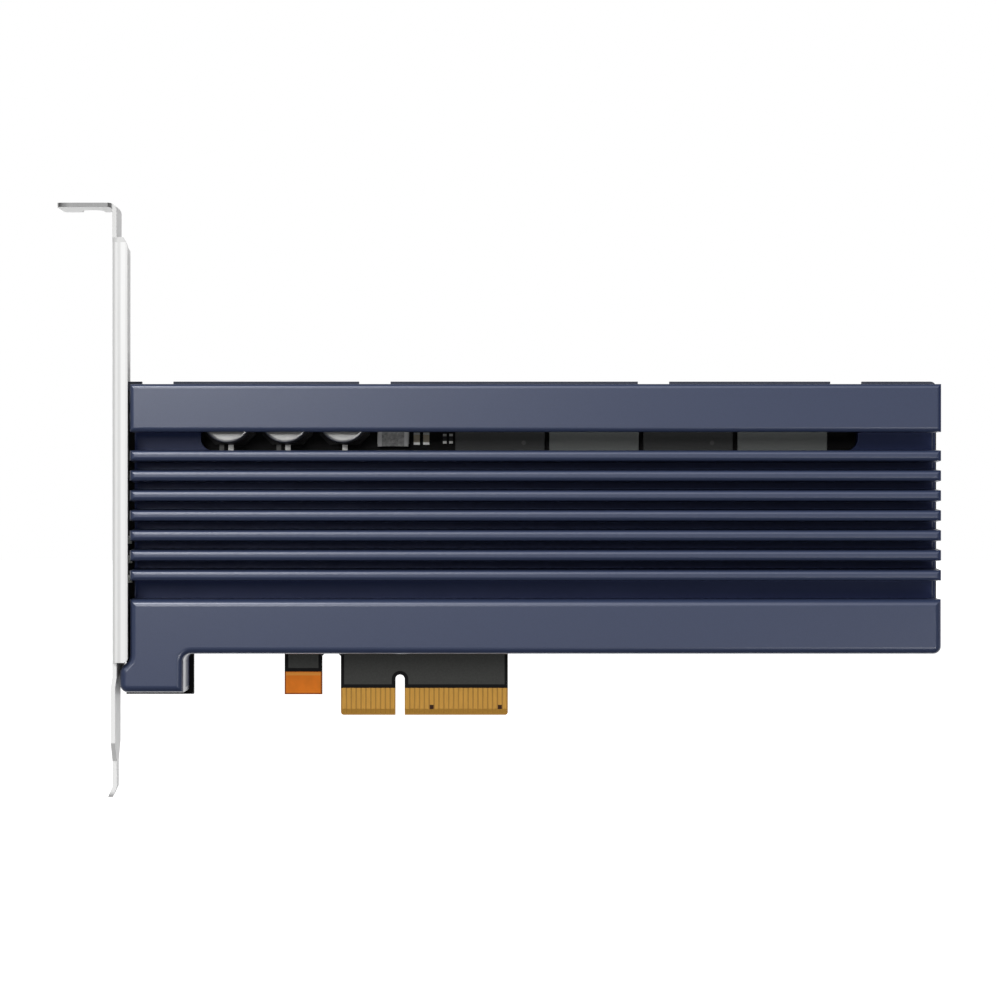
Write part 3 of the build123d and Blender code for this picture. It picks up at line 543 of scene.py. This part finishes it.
def contact_gold():
    """Hard gold plating, finely brushed along the contacts."""
    surface = Surface("contact_gold", (0.76, 0.40, 0.068), roughness=0.36, metallic=0.5)
    lines = surface.noise(grain=0.12 * MM, stretch=(1, 1, 0.05))
    surface.feed("Roughness", surface.spread(lines, low=0.30, high=0.42))
    surface.feed("Base Color", surface.shade(lines, amount=0.06))
    return surface.material


# Painted shade darkens the tape's rim, where it turns over the board's edges, and a painted highlight runs
# in a line along its top
TAPE_RIM = 0.28 * MM
TAPE_RIM_SHADE = (0.30, 0.075, 0.008, 1.0)
TAPE_HIGHLIGHT = (0.86, 0.32, 0.045, 1.0)
TAPE_HIGHLIGHT_LINE = (0.75 * MM, 0.15 * MM)
TAPE_HIGHLIGHT_BLUR = 0.24 * MM


def orange_tape():
    """Amber film over its glue, with a slight ripple, a painted highlight along its top and painted shade
    at its rim.
    """
    surface = Surface("orange_tape", (0.84, 0.212, 0.009), roughness=0.45, Specular_IOR_Level=0.15)
    ripple = surface.noise(grain=1.6 * MM, detail=1.0)
    # Painted highlight in a line along the tape's top
    line = surface.inside(
        "Z", tape_high.z - TAPE_HIGHLIGHT_LINE[0], tape_high.z - TAPE_HIGHLIGHT_LINE[1], TAPE_HIGHLIGHT_BLUR
    )
    colour = surface.two_colours(line, surface.shade(ripple, amount=0.06), TAPE_HIGHLIGHT)
    # Painted shade on the tape's rim
    middle = surface.rectangle(
        tape_low.x + TAPE_RIM, tape_high.x - TAPE_RIM, tape_low.z + TAPE_RIM, BEYOND
    )
    surface.feed("Base Color", surface.two_colours(middle, TAPE_RIM_SHADE, colour))
    surface.bump(ripple, depth=0.02 * MM)
    return surface.material


# Finishes of moulded and fired bodies, by their slots' names; the dotted nodes have a pale pin dot
MOULDED = {
    "package_black": {
        "colour": (0.078, 0.082, 0.081), "roughness": 0.55, "dotted": ("flash_slot_1", "flash_slot_2")
    },
    "package_olive": {"colour": (0.255, 0.270, 0.260), "roughness": 0.55},
    "capacitor_plastic": {"colour": (0.012, 0.012, 0.012), "roughness": 0.55},
    "ceramic_tan": {"colour": (0.46, 0.40, 0.29), "roughness": 0.4},
    "resistor_black": {"colour": (0.018, 0.018, 0.02), "roughness": 0.3},
    "ferrite_grey": {"colour": (0.06, 0.06, 0.06), "roughness": 0.6},
}
PIN_DOT = (0.16, 0.16, 0.16, 1.0)
PIN_DOT_INSET = (4.3 * MM, 2.1 * MM)
PIN_DOT_RADIUS = 0.45 * MM
PIN_DOT_BLUR = 0.24 * MM


def moulded_body(name, colour, roughness, dotted=()):
    """A fine matte texture, and a pale dot near the lower right corner of the dotted nodes."""
    surface = Surface(name, colour, roughness)
    grain = surface.noise(grain=0.10 * MM)
    shown = surface.shade(grain, amount=0.15)
    for node in dotted:
        low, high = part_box(node)
        dot = surface.disc(
            high.x - PIN_DOT_INSET[0], low.z + PIN_DOT_INSET[1], PIN_DOT_RADIUS, PIN_DOT_BLUR
        )
        shown = surface.two_colours(dot, shown, PIN_DOT)
    surface.feed("Base Color", shown)
    surface.bump(grain, depth=0.006 * MM)
    return surface.material


TERMINAL_WIDTH = 0.85 * MM
TERMINAL_PALE = (0.72, 0.72, 0.71, 1.0)


def moulded_grey():
    """The moulded capacitor's mottled grey case, with its paler terminals folded up at both ends."""
    surface = Surface("moulded_grey", (0.40, 0.40, 0.395), roughness=0.5)
    low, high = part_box("moulded_capacitor")
    mottle = surface.noise(grain=0.55 * MM)
    middle = surface.inside("X", low.x + TERMINAL_WIDTH, high.x - TERMINAL_WIDTH)
    mottled = surface.shade(mottle, amount=0.35)
    surface.feed("Base Color", surface.two_colours(middle, TERMINAL_PALE, mottled))
    surface.bump(mottle, depth=0.02 * MM)
    return surface.material


def thermal_pad():
    """Soft filled silicone."""
    surface = Surface("thermal_pad", (0.22, 0.24, 0.26), roughness=0.8)
    grain = surface.noise(grain=0.3 * MM, detail=3.0)
    surface.feed("Base Color", surface.shade(grain, amount=0.2))
    surface.bump(grain, depth=0.03 * MM)
    return surface.material


def capacitor_metal():
    """Drawn aluminium, finely turned."""
    surface = Surface("capacitor_metal", (0.46, 0.46, 0.45), roughness=0.34, metallic=1.0)
    grain = surface.noise(grain=0.15 * MM)
    surface.feed("Roughness", surface.spread(grain, low=0.30, high=0.42))
    surface.bump(grain, depth=0.004 * MM)
    return surface.material


# Finishes of plated pieces, by their slots' names
PLATINGS = {
    "tinned_metal": {"colour": (0.72, 0.72, 0.70), "roughness": 0.35},
    "screw_steel": {"colour": (0.50, 0.50, 0.52), "roughness": 0.32},
    "crystal_can": {"colour": (0.66, 0.66, 0.63), "roughness": 0.28},
}
GLOSSIER = 0.85
DULLER = 1.2


def plated_metal(name, colour, roughness):
    """Tin or zinc plating with a slightly cloudy gloss."""
    surface = Surface(name, colour, roughness, metallic=1.0)
    cloud = surface.noise(grain=0.5 * MM, detail=3.0)
    surface.feed("Roughness", surface.spread(cloud, roughness * GLOSSIER, roughness * DULLER))
    surface.feed("Base Color", surface.shade(cloud, amount=0.05))
    return surface.material


def light_lens():
    """Milky clear lens."""
    surface = Surface("light_lens", (0.75, 0.78, 0.70), roughness=0.25, Transmission_Weight=0.3)
    cloud = surface.noise(grain=0.4 * MM)
    surface.feed("Roughness", surface.spread(cloud, low=0.2, high=0.35))
    return surface.material


def make_materials():
    """Every finish of the record, by its slot's name."""
    finishes = {
        "blue_anodised": blue_anodised(),
        "bright_nickel": bright_nickel(),
        "board_mask": board_mask(),
        "contact_gold": contact_gold(),
        "orange_tape": orange_tape(),
        "thermal_pad": thermal_pad(),
        "capacitor_metal": capacitor_metal(),
        "moulded_grey": moulded_grey(),
        "light_lens": light_lens(),
    }
    for name, look in MOULDED.items():
        finishes[name] = moulded_body(name, **look)
    for name, look in PLATINGS.items():
        finishes[name] = plated_metal(name, **look)
    return finishes


def dress_nodes(finishes):
    """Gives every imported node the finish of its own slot."""
    for entry in frame["record"]["subparts"]:
        mesh = nodes[entry["node"]].data
        mesh.materials.clear()
        mesh.materials.append(finishes[entry["material_slot"]])


make_camera()
make_world()
make_lamps()
make_floor()
dress_nodes(make_materials())

scene.view_settings.view_transform = "Standard"
